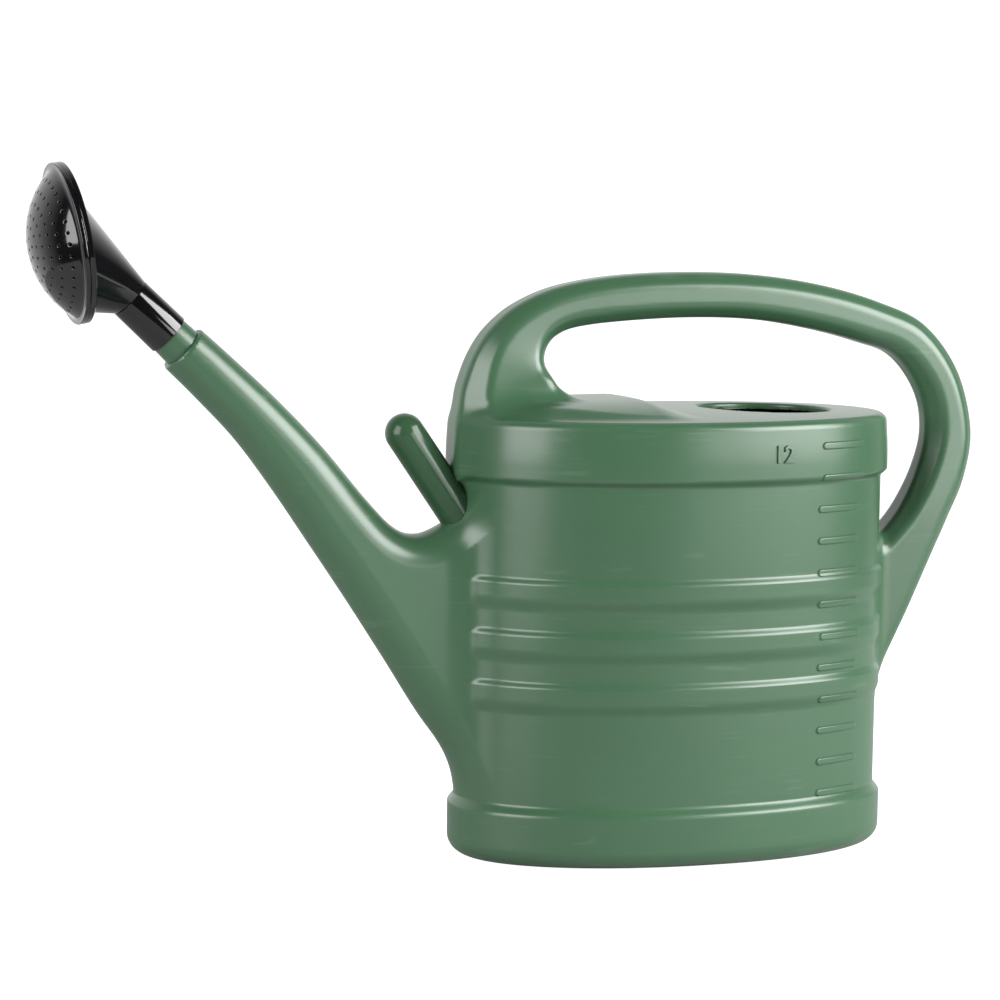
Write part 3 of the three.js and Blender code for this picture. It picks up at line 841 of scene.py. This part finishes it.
@dataclass
class Can:
    """The hollow green moulding: tank, deck, handle and spout in one skin, with its marks.

    Attributes:
        wall: thickness of the wall.
        filler: the filler mouth's place on the deck and its radius.
        collar: how deep the mouth's turned-in edge is.
        spout_end: middle of the spout's end face, where the spigot starts.
        spigot_tilt: how far the spigot leans up from the horizontal, in degrees.
        well_depth: how far up and down from the deck's edge the filler mouth cuts.
        lining_end: how far short of the spout's end face the lining stops.
        handle_edge: radius of the handle's crisp edges.
        handle_fillet: reach of the soft valleys where the handle leaves the tank.
        spout_fillet: the same for the spout, with inner_fillet on the inside.
        spout_edge: rounding of the spout's end face; mouth_edge is the filler mouth's.
        rib_fade: how far from the limbs the ribs start and are full.
        spout_root: X where the spout's piece starts; the handle's starts at handle_root behind.
        spigot_bore: radius of the hole in the spout's end face, and how deep its cap lies.
        mark_count: how many litre marks there are, from mark_lowest up, mark_pitch apart.
        mark_middle: where the middle of the lowest and of the highest litre mark is along X.
        mark_size: half the length and half the height of a mark; mark_proud is its thickness.
        number_place: middle of the embossed number's foot along X and Z.
        number_size: height of its type, with how far it and its bevel stand out.
        tank: the tank's form.
        spout: the spout's form.
        handle: the handle's form.
    """

    wall: float = 1.8
    filler: tuple[float, float] = (70.0, 47.0)
    collar: float = 2.4
    spout_end: tuple[float, float] = (-351.5, 352.5)
    spigot_tilt: float = 43.0
    well_depth: float = 16.0
    lining_end: float = 12.0
    handle_edge: float = 2.0
    handle_fillet: float = 12.0
    spout_fillet: float = 22.0
    inner_fillet: float = 12.0
    spout_edge: float = 1.6
    mouth_edge: float = 2.2
    rib_fade: tuple[float, float] = (2.0, 11.0)
    spout_root: float = -158.5
    handle_root: float = 161.0
    spigot_bore: tuple[float, float] = (12.0, 2.5)
    mark_count: int = 12
    mark_lowest: float = 45.0
    mark_pitch: float = 22.0
    mark_middle: tuple[float, float] = (98.5, 90.5)
    mark_size: tuple[float, float] = (19.7, 3.2)
    mark_proud: float = 1.3
    number_place: tuple[float, float] = (40.0, 277.0)
    number_size: tuple[float, float, float] = (16.5, 0.9, 0.4)
    tank: TankForm = field(default_factory=TankForm)
    spout: FlatLimb = field(init=False)
    handle: FlatLimb = field(init=False)

    def __post_init__(self) -> None:
        """Makes the two limbs: the spout is round in section, the handle bevelled."""
        round_edges = [min(row[4], 0.5 * math.dist(row[0:2], row[2:4]) - 0.5) for row in SPOUT_STATIONS]
        self.spout = FlatLimb(SPOUT_STATIONS, round_edges)
        crisp_edges = [self.handle_edge] * len(HANDLE_STATIONS)
        self.handle = FlatLimb(HANDLE_STATIONS, crisp_edges, HANDLE_OUTER_BEVELS, HANDLE_INNER_BEVELS)

    def skin(self, p: Array) -> Array:
        """Distance to the outside, the filler mouth's well included."""
        spout = trim(self.spout.distance(p), self.past_spout_end(p), self.spout_edge)
        handle = self.handle.distance(p)
        near = np.minimum(spout, handle)
        tank = self.tank.outside(p, ramp(*self.rib_fade, near))
        body = join(join(tank, handle, self.handle_fillet), spout, self.spout_fillet)
        well = np.maximum(self.off_mouth(p), np.abs(p[:, 2] - self.tank.deck_edge) - self.well_depth)
        return trim(body, -well, self.mouth_edge)

    def off_mouth(self, p: Array) -> Array:
        """How far points are outside the filler mouth's circle, seen from above."""
        x, radius = self.filler
        return np.hypot(p[:, 0] - x, p[:, 1]) - radius

    def past_spout_end(self, p: Array) -> Array:
        """How far a point is past the spout's end face, along the spigot's axis."""
        angle = math.radians(self.spigot_tilt)
        x, z = self.spout_end
        return (z - p[:, 2]) * -math.sin(angle) - (p[:, 0] - x) * math.cos(angle)

    def off_spigot(self, p: Array) -> Array:
        """Distance of points from the spigot's axis."""
        x, z = self.spout_end
        square = (p[:, 0] - x) ** 2 + p[:, 1] ** 2 + (p[:, 2] - z) ** 2
        return np.sqrt(np.maximum(square - self.past_spout_end(p) ** 2, 0.0))

    def hollow(self, p: Array) -> Array:
        """Distance to the space inside, which the collar of the mouth stands down into."""
        collar = np.maximum(self.off_mouth(p) - self.wall, self.tank.deck_edge - self.collar - p[:, 2])
        tank = trim(self.tank.inside(p, self.wall), -collar, 0.3)
        spout = trim(self.spout.distance(p, self.wall), self.past_spout_end(p) + self.lining_end, 0.3)
        return join(tank, spout, self.inner_fillet)

    def lattice(self, coarse: float) -> tuple[Array, Array, Array]:
        """Lattice planes for the skin, close together where the relief turns sharply."""
        form = self.tank
        turns = [(form.bottom_band_top, 5.0, 3.0), (form.top_band_bottom, 1.5, 7.0)]
        turns += [(form.deck_edge, 7.0, 4.0), *((top, 4.5, 1.6) for top in form.rib_tops)]
        zones = sorted((height - below, height + above) for height, below, above in turns)
        xs = np.arange(-372.0, 242.0, coarse)
        half = np.arange(coarse / 2.0, 108.0, coarse)
        ys = np.concatenate([-half[::-1], half])
        zs = uneven_lines(-4.0, 410.0, coarse, 0.7, zones)
        return xs, ys, zs

    def on_wall(self, x: Array, z: Array, proud: Array) -> Array:
        """Points on the -Y wall at x and z, standing proud of the relief there.

        The plain wall is at y = -b(1 - (x/a)^n)^(1/n), and relief and height go along its normal.
        """
        form = self.tank
        b = form.half_width + form.widening * (z - form.reference_height)
        n = form.exponent
        u = np.abs(x) / form.half_length
        y = -b * (1.0 - u**n) ** (1.0 / n)
        normal = np.stack([np.sign(x) * u ** (n - 1) / form.half_length, -((-y / b) ** (n - 1)) / b], -1)
        normal /= np.linalg.norm(normal, axis=-1, keepdims=True)
        out = form.relief(z, np.ones_like(z)) + proud
        return np.stack([x + normal[..., 0] * out, y + normal[..., 1] * out, z], -1)

    def litre_marks(self) -> Surface:
        """Twelve raised bars, each a patch whose height is a pillow with an oval rim."""
        rows, columns = 17, 61
        s, t = np.meshgrid(np.linspace(-1, 1, columns), np.linspace(-1, 1, rows))
        length, height = self.mark_size
        across = np.maximum(np.abs(s) * length - (length - height), 0.0) / height
        reach = np.hypot(across, t)
        proud = self.mark_proud * (1.45 * (1.0 - ramp(0.55, 1.0, reach)) - 0.45)
        surfaces = []
        for i in range(self.mark_count):
            z = self.mark_lowest + i * self.mark_pitch + t * height
            share = i / (self.mark_count - 1)
            middle = (1.0 - share) * self.mark_middle[0] + share * self.mark_middle[1]
            points = self.on_wall(middle + s * length, z, proud)
            surfaces.append(points.reshape(-1, 3))
        quad = grid_faces(rows, columns, wrap_columns=False)
        faces = np.vstack([quad + i * rows * columns for i in range(self.mark_count)])
        return Surface(np.vstack(surfaces) * MM, faces)

    def capacity_number(self, material: bpy.types.Material) -> bpy.types.Object:
        """The embossed number of litres: text made a mesh and laid on the wall of the top band."""
        text = bpy.data.curves.new("number", "FONT")
        text.body = "12"
        text.size, text.extrude, text.bevel_depth = self.number_size
        text.bevel_resolution = 2
        text.align_x = "CENTER"
        holder = add_object("number", text)
        bpy.context.view_layer.update()
        mesh = bpy.data.meshes.new_from_object(holder.evaluated_get(bpy.context.evaluated_depsgraph_get()))
        bpy.data.objects.remove(holder)
        flat = np.empty(len(mesh.vertices) * 3, np.float32)
        mesh.vertices.foreach_get("co", flat)
        flat = flat.reshape(-1, 3).astype(float)
        x, z = self.number_place
        bent = self.on_wall(x + flat[:, 0], z + flat[:, 1], flat[:, 2])
        mesh.vertices.foreach_set("co", (bent * MM).astype(np.float32).ravel())
        mesh.update()
        mesh.materials.clear()
        mesh.materials.append(material)
        return add_object("capacity_number", mesh)

    def build(self, finish: bpy.types.Material, lining: bpy.types.Material) -> list[bpy.types.Object]:
        """Builds the moulding's pieces, which share their border points.

        Args:
            finish: the outside's material.
            lining: the inside's material, the can's green darkened as painted shade inside the hollow.

        Returns:
            The pieces, riding on the can.
        """
        coarse = 2.2
        whole = surface_net(self.skin, *self.lattice(coarse))
        middle = whole.points[whole.faces].mean(1)
        x, radius = self.filler
        edge, heights = self.tank.deck_edge, middle[:, 2]
        in_well = (heights < edge - self.collar) & (heights > edge - 2.0 * self.well_depth)
        floor = (np.hypot(middle[:, 0] - x, middle[:, 1]) < radius + 1.0) & in_well
        bore_radius, cap_depth = self.spigot_bore
        bore = (self.past_spout_end(middle) > -cap_depth) & (self.off_spigot(middle) < bore_radius)
        whole.points *= MM
        on_spout = middle[:, 0] < self.spout_root
        high = heights > edge - 1.5
        outline = self.handle.outline_field(middle[:, 0], middle[:, 2])
        width = self.handle.width_field(middle[:, 0], middle[:, 2])
        near_handle = (outline < 1.0) & (np.abs(middle[:, 1]) < width + 1.0)
        on_handle = near_handle & (high | (middle[:, 0] > self.handle_root)) & ~on_spout
        on_deck = high & ~on_handle & ~on_spout
        on_wall = ~(on_handle | on_deck | on_spout)
        parts = {
            "can_wall": (on_wall & ~floor, ("tank_shell",)),
            "can_deck": (on_deck & ~floor, ("top_deck",)),
            "can_handle": (on_handle, ("handle",)),
            "can_spout": (on_spout & ~bore, ("spout",)),
        }
        pieces = []
        for name, (keep, nodes) in parts.items():
            piece = make_piece(name, whole.only(keep), finish)
            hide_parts(*nodes)
            pieces.append(piece)
        step = 6.0
        ranges = ((-356.0, 170.0), (-105.0, 106.0), (-5.0, 372.0))
        inside = surface_net(self.hollow, *(np.arange(low, high, step) for low, high in ranges))
        centre = inside.points[inside.faces].mean(1)
        mouth = np.hypot(centre[:, 0] - x, centre[:, 1]) < radius - 0.5
        mouth &= centre[:, 2] > edge - self.collar - step
        beyond = self.past_spout_end(centre) > -self.lining_end - 1.5
        inside = Surface(inside.points * MM, inside.faces[:, ::-1], -inside.normals)
        # The lining's darker green is painted shade inside the hollow, not a different plastic.
        pieces.append(make_piece("can_lining", inside.only(~(mouth | beyond)), lining))
        near, far, top, foot = radius - 0.1, radius + self.wall, edge - 2.0, edge - self.collar - 0.6
        loop = soften([(near, top), (near, foot), (far, foot), (far, top)], 0.8, True)
        collar = turned(loop, np.array([x, 0.0, 0.0]), np.array([0.0, 0.0, 1.0]), 128, True)
        collar.faces = collar.faces[:, ::-1]
        pieces.append(make_piece("filler_collar", collar, finish))
        pieces.append(make_piece("litre_marks", self.litre_marks(), finish, 60.0))
        pieces.append(self.capacity_number(finish))
        for piece in pieces:
            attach(piece, Body.CAN.value)
        return pieces


@dataclass
class Peg:
    """The solid parking peg: a rod with a domed end, from inside the saddle to above the spout.

    Attributes:
        tip: middle of the domed end along X and Z.
        root: where its axis starts inside the saddle, along X and Z.
        foot: how far from the root the rod starts.
        radius: the rod's radius.
    """

    tip: tuple[float, float] = (-195.6, 293.2)
    root: tuple[float, float] = (-142.0, 216.0)
    foot: float = 12.0
    radius: float = 13.5

    def build(self, finish: bpy.types.Material) -> list[bpy.types.Object]:
        """Turns the rod: straight sides, then a hemisphere; its profile is radius against height."""
        root = np.array([self.root[0], 0.0, self.root[1]])
        axis = np.array([self.tip[0], 0.0, self.tip[1]]) - root
        length = np.linalg.norm(axis)
        t = np.linspace(0.0, math.pi / 2.0, 24)
        dome = np.column_stack([self.radius * np.cos(t), length + self.radius * np.sin(t)])
        side = np.column_stack([np.full(60, self.radius), np.linspace(self.foot, length, 60)])[:-1]
        foot = np.array([[0.01, self.foot]])
        surface = turned(np.vstack([foot, side, dome]), root, axis / length, 96, False)
        piece = make_piece("parking_peg_rod", surface, finish)
        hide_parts("parking_peg")
        return [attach(piece, Body.CAN.value)]


SPIGOT_PROFILE = ((11.0, -30.0), (14.3, -6.0), (14.3, 0.5), (12.9, 34.0), (11.0, 34.0))
SLEEVE_PROFILE = ((13.9, 13.0), (14.95, 13.0), (14.6, 48.7), (13.3, 48.7))


@dataclass
class Rose:
    """The black rose: a sleeve that slides on the spigot, a skew funnel and a perforated face.

    Attributes:
        tilt: how far the spigot leans up, in degrees.
        drop: how far down the face looks, in degrees.
        base: middle of the spout's end face.
        centre: middle of the face's flange.
        radius: the flange's radius; dome_radius and dome_rise are the dome's.
        flange: thickness of the face's flange; back_flange is the funnel's.
        seat: radius of the funnel's seat for the face.
        skirt: inner and outer radius and depth of the face's skirt.
        cone_radius: the cone's wide end, cone_offset from the face's axis.
        shell: thickness of the shells.
        neck: radius of the cone's narrow end and its height on the spigot's axis.
        neck_ring: bore, outer radius and foot of the neck's part inside the sleeve.
        hole_rings: rings of holes, hole_pitch apart, each of hole_radius.
    """

    tilt: float = 43.0
    drop: float = 9.2
    base: tuple[float, float, float] = (-351.5, 0.0, 352.5)
    centre: tuple[float, float, float] = (-431.5, 0.0, 421.0)
    radius: float = 53.5
    dome_radius: float = 49.0
    dome_rise: float = 23.0
    flange: float = 3.0
    back_flange: float = 4.0
    seat: float = 48.0
    skirt: tuple[float, float, float] = (46.0, 47.6, 6.4)
    cone_radius: float = 42.5
    cone_offset: float = -3.9
    shell: float = 1.6
    neck: tuple[float, float] = (14.5, 49.0)
    neck_ring: tuple[float, float, float] = (11.4, 12.95, 38.0)
    hole_rings: int = 6
    hole_pitch: float = 7.2
    hole_radius: float = 0.85

    def spigot_axis(self) -> Array:
        """The unit axis of the spigot, which leans forwards and up."""
        angle = math.radians(self.tilt)
        return np.array([-math.cos(angle), 0.0, math.sin(angle)])

    def face_axis(self) -> Array:
        """The unit axis of the face, which looks forwards and a little down."""
        angle = math.radians(self.drop)
        return np.array([-math.cos(angle), 0.0, -math.sin(angle)])

    def on_spigot(
        self, name: str, corners: Sequence[tuple[float, float]], radius: float, finish: bpy.types.Material
    ) -> bpy.types.Object:
        """A ring about the spigot's axis, from a closed profile with rounded corners."""
        profile = soften(corners, radius, True)
        surface = turned(profile, np.array(self.base), self.spigot_axis(), 96, True)
        return make_piece(name, surface, finish)

    def spigot(self, finish: bpy.types.Material) -> bpy.types.Object:
        """The green spigot on the end of the spout, tapered, with its bore."""
        piece = self.on_spigot("spigot", SPIGOT_PROFILE, 0.6, finish)
        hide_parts("spout_spigot")
        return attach(piece, Body.CAN.value)

    def sleeve(self, finish: bpy.types.Material) -> bpy.types.Object:
        """The sleeve, a plain tapered tube with a small round edge."""
        piece = self.on_spigot("rose_sleeve_tube", SLEEVE_PROFILE, 0.45, finish)
        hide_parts("rose_sleeve")
        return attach(piece, Body.SLEEVE.value)

    def funnel(self, finish: bpy.types.Material) -> bpy.types.Object:
        """The skew cone: straight lines from the neck's circle to a circle on the flange's back.

        A point at share s is the neck's point times (1 - s) plus the flange's times s; the inside
        repeats the outside a wall further in.
        """
        spigot, face = self.spigot_axis(), self.face_axis()
        neck_radius, neck_end = self.neck
        ring_bore, ring_radius, ring_foot = self.neck_ring
        front = -self.flange - 0.05
        back = front - self.back_flange
        base, centre = np.array(self.base), np.array(self.centre)
        down = np.cross(np.array([0.0, 1.0, 0.0]), face) * self.cone_offset
        s = np.linspace(0.0, 1.0, 30)[:, None, None]
        segments, edge = 128, 0.6

        def about_spigot(*profile: tuple[float, float]) -> Array:
            """Circles about the spigot's axis, from radius and height pairs."""
            return circles(base, spigot, profile, segments)

        def about_face(*profile: tuple[float, float], shift: Array = np.zeros(3)) -> Array:
            """Circles about the face's axis, from radius and height pairs."""
            return circles(centre + shift, face, profile, segments)

        neck, rim = about_spigot((neck_radius, neck_end)), about_face((self.cone_radius, back), shift=down)
        outer = (1 - s) * neck + s * rim
        deep_rim = about_face((self.cone_radius - self.shell, back + 1.0), shift=down)
        deep_neck = about_spigot((neck_radius - self.shell, neck_end + 1.0))
        inner = (1 - s) * deep_rim + s * deep_neck
        rings = np.concatenate([
            about_spigot((ring_bore, ring_foot), (ring_radius, ring_foot), (ring_radius, neck_end),
                         (neck_radius - 0.4, neck_end)),
            outer,
            about_face((self.radius - edge, back), (self.radius, back + edge), (self.radius, front - edge),
                       (self.radius - edge, front), (self.seat, front), (self.seat, back + 1.0)),
            inner,
            about_spigot((ring_bore, neck_end + 1.0)),
        ])
        surface = Surface(rings.reshape(-1, 3) * MM, grid_faces(len(rings), segments, True))
        piece = make_piece("rose_funnel_cone", surface, finish, 32.0)
        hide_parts("rose_funnel")
        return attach(piece, Body.FUNNEL.value)

    def face_distance(self, p: Array) -> Array:
        """Distance to the face: a shell of a sphere with holes, on a thin round flange and a skirt."""
        r = np.hypot(p[:, 0], p[:, 1])
        h = p[:, 2]
        sphere = (self.dome_radius**2 + self.dome_rise**2) / (2.0 * self.dome_rise)
        off = np.sqrt(r * r + (h - self.dome_rise + sphere) ** 2) - sphere
        dome = trim(np.maximum(off, -off - self.shell), -h - 1.0, 0.2)
        bore, outer, depth = self.skirt
        flange = trim(trim(r - self.radius, bore - r, 0.3), np.maximum(h, -h - self.flange), 0.6)
        skirt = np.maximum(np.maximum(r - outer, bore - r), np.maximum(h, -h - depth))
        body = np.minimum(join(dome, flange, 2.0), skirt)
        ring = np.clip(np.round(r / self.hole_pitch), 0, self.hole_rings)
        count = np.maximum(6.0 * ring, 1.0)
        turn = np.arctan2(p[:, 1], p[:, 0]) * count / (2.0 * math.pi)
        angle = (np.round(turn - 0.25) + 0.25) * 2.0 * math.pi / count
        x, y = ring * self.hole_pitch * np.cos(angle), ring * self.hole_pitch * np.sin(angle)
        hole = np.hypot(p[:, 0] - x, p[:, 1] - y) - self.hole_radius
        return trim(body, -hole, 0.3)

    def face(self, finish: bpy.types.Material) -> bpy.types.Object:
        """The perforated face, meshed as a level set about its own axis and then put in place."""
        step = 0.62
        across = np.arange(-56.0, 56.1, step)
        up = np.concatenate([np.arange(-7.4, 0.0, 0.5), np.arange(0.2, 28.0, step)])
        local = surface_net(self.face_distance, across, across, up, 5)
        axis = self.face_axis()
        side = np.array([0.0, 1.0, 0.0])
        other = np.cross(axis, side)
        matrix = Matrix.Identity(4)
        for row in range(3):
            matrix[row][0], matrix[row][1], matrix[row][2] = side[row], other[row], axis[row]
            matrix[row][3] = self.centre[row] * MM
        surface = Surface(local.points * MM, local.faces, local.normals).placed(matrix)
        piece = make_piece("rose_face_dome", surface, finish)
        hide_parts("rose_face")
        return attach(piece, Body.FACE.value)


# ---------------------------------------------------------------- the studio


@dataclass
class Studio:
    """Floor, lights and camera.

    Attributes:
        yaw: which way the camera looks, turned from +Y, in degrees.
        pitch: how far it looks down.
        roll: how far its frame leans.
        place: where it stands, in metres.
        lens: its focal length in millimetres.
        front_glow: the room's light from in front of the can.
        back_glow: the room's light from behind it.
        floor_radius: radius of the round floor, in metres.
        floor_glow: what the floor adds to its own white where the camera sees it.
        target: the point that the lights face.
    """

    yaw: float = 20.263
    pitch: float = 5.741
    roll: float = 0.644
    place: tuple[float, float, float] = (-0.9920, -2.3453, 0.4972)
    lens: float = 131.96
    front_glow: float = 0.08
    back_glow: float = 1.25
    floor_radius: float = 1.25
    floor_glow: float = 0.90
    target: tuple[float, float, float] = (0.0, 0.0, 0.25)

    def camera(self) -> None:
        """Makes the camera from its turn, pitch and roll."""
        data = bpy.data.cameras.new("camera")
        data.lens = self.lens
        data.sensor_width = 36.0
        data.clip_end = 50.0
        camera = add_object("camera", data)
        yaw, pitch, roll = (math.radians(a) for a in (self.yaw, self.pitch, self.roll))
        flat = Vector((math.sin(yaw), math.cos(yaw), 0.0))
        forward = flat * math.cos(pitch) - Vector((0.0, 0.0, math.sin(pitch)))
        right = Vector((math.cos(yaw), -math.sin(yaw), 0.0))
        above = right.cross(forward)
        side = right * math.cos(roll) + above * math.sin(roll)
        up = above * math.cos(roll) - right * math.sin(roll)
        turn = Matrix((side, up, -forward)).transposed()
        camera.matrix_world = Matrix.Translation(self.place) @ turn.to_4x4()
        bpy.context.scene.camera = camera

    def surroundings(self) -> None:
        """Makes the room: white behind the can, dimmer in front and above, and white to the camera."""
        world = bpy.data.worlds.new("studio")
        world.use_nodes = True
        nodes = Nodes(world.node_tree)
        background = world.node_tree.nodes["Background"]
        direction = nodes.add("ShaderNodeSeparateXYZ")
        nodes.wire(nodes.add("ShaderNodeTexCoord").outputs["Generated"], direction.inputs[0])
        glow = nodes.spread(direction.outputs["Y"], 0.15, 0.70, self.front_glow, self.back_glow)
        seen = nodes.add("ShaderNodeLightPath").outputs["Is Camera Ray"]
        nodes.wire(nodes.math("MAXIMUM", glow, seen), background.inputs["Strength"])
        nodes.wire((1.0, 1.0, 1.0, 1.0), background.inputs["Color"])
        bpy.context.scene.world = world

    def light(self, name: str, place: Sequence[float], size: Sequence[float], radiance: float) -> None:
        """Makes a soft light that faces the target; watts are radiance times pi times area."""
        data = bpy.data.lights.new(name, "AREA")
        data.shape = "RECTANGLE"
        data.size, data.size_y = size
        data.energy = radiance * math.pi * size[0] * size[1]
        lamp = add_object(name, data)
        aim = Vector(self.target) - Vector(place)
        lamp.matrix_world = Matrix.Translation(place) @ aim.to_track_quat("-Z", "Y").to_matrix().to_4x4()

    def build(self) -> None:
        """Makes the floor, the world, the lights and the camera."""
        mesh = bpy.data.meshes.new("floor")
        corners = 96
        angles = np.linspace(0.0, 2.0 * math.pi, corners, endpoint=False)
        rim = np.column_stack([np.cos(angles), np.sin(angles), np.zeros(corners)]) * self.floor_radius
        mesh.from_pydata(rim.tolist(), [], [tuple(range(corners))])
        material = bpy.data.materials.new("floor_white")
        material.use_nodes = True
        shader = material.node_tree.nodes["Principled BSDF"]
        shader.inputs["Base Color"].default_value = (0.5, 0.5, 0.5, 1.0)
        shader.inputs["Roughness"].default_value = 0.9
        shader.inputs["Emission Color"].default_value = (1.0, 1.0, 1.0, 1.0)
        nodes = Nodes(material.node_tree)
        seen = nodes.add("ShaderNodeLightPath").outputs["Is Camera Ray"]
        nodes.wire(nodes.math("MULTIPLY", seen, self.floor_glow), shader.inputs["Emission Strength"])
        mesh.materials.append(material)
        floor = add_object("floor", mesh)
        self.surroundings()
        self.light("right_box", (1.70, -1.43, 1.15), (1.75, 1.5), 15.0)
        self.light("low_box", (1.57, -1.81, 0.30), (2.5, 0.55), 6.5)
        self.light("left_box", (-2.30, -0.95, 1.00), (1.7, 2.0), 8.0)
        bpy.context.scene.view_settings.view_transform = "Standard"
        self.camera()


def main() -> None:
    """Builds the watering can round its frame and reports each piece."""
    logging.basicConfig(level=logging.INFO, format="%(message)s")
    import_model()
    groups = {tree.name: tree for tree in (rub_group(), scratch_group(), skin_group())}
    green, peg_green, lining, black = (
        finish.make(groups) for finish in (CAN_GREEN, PEG_GREEN, LINING_GREEN_PAINTED_SHADE, ROSE_BLACK)
    )
    pieces = Can().build(green, lining)
    pieces += Peg().build(peg_green)
    rose = Rose()
    pieces += [rose.spigot(green), rose.sleeve(black), rose.funnel(black), rose.face(black)]
    Studio().build()
    for piece in pieces:
        LOG.info("%s: %d faces", piece.name, len(piece.data.polygons))


if __name__ == "__main__":
    main()
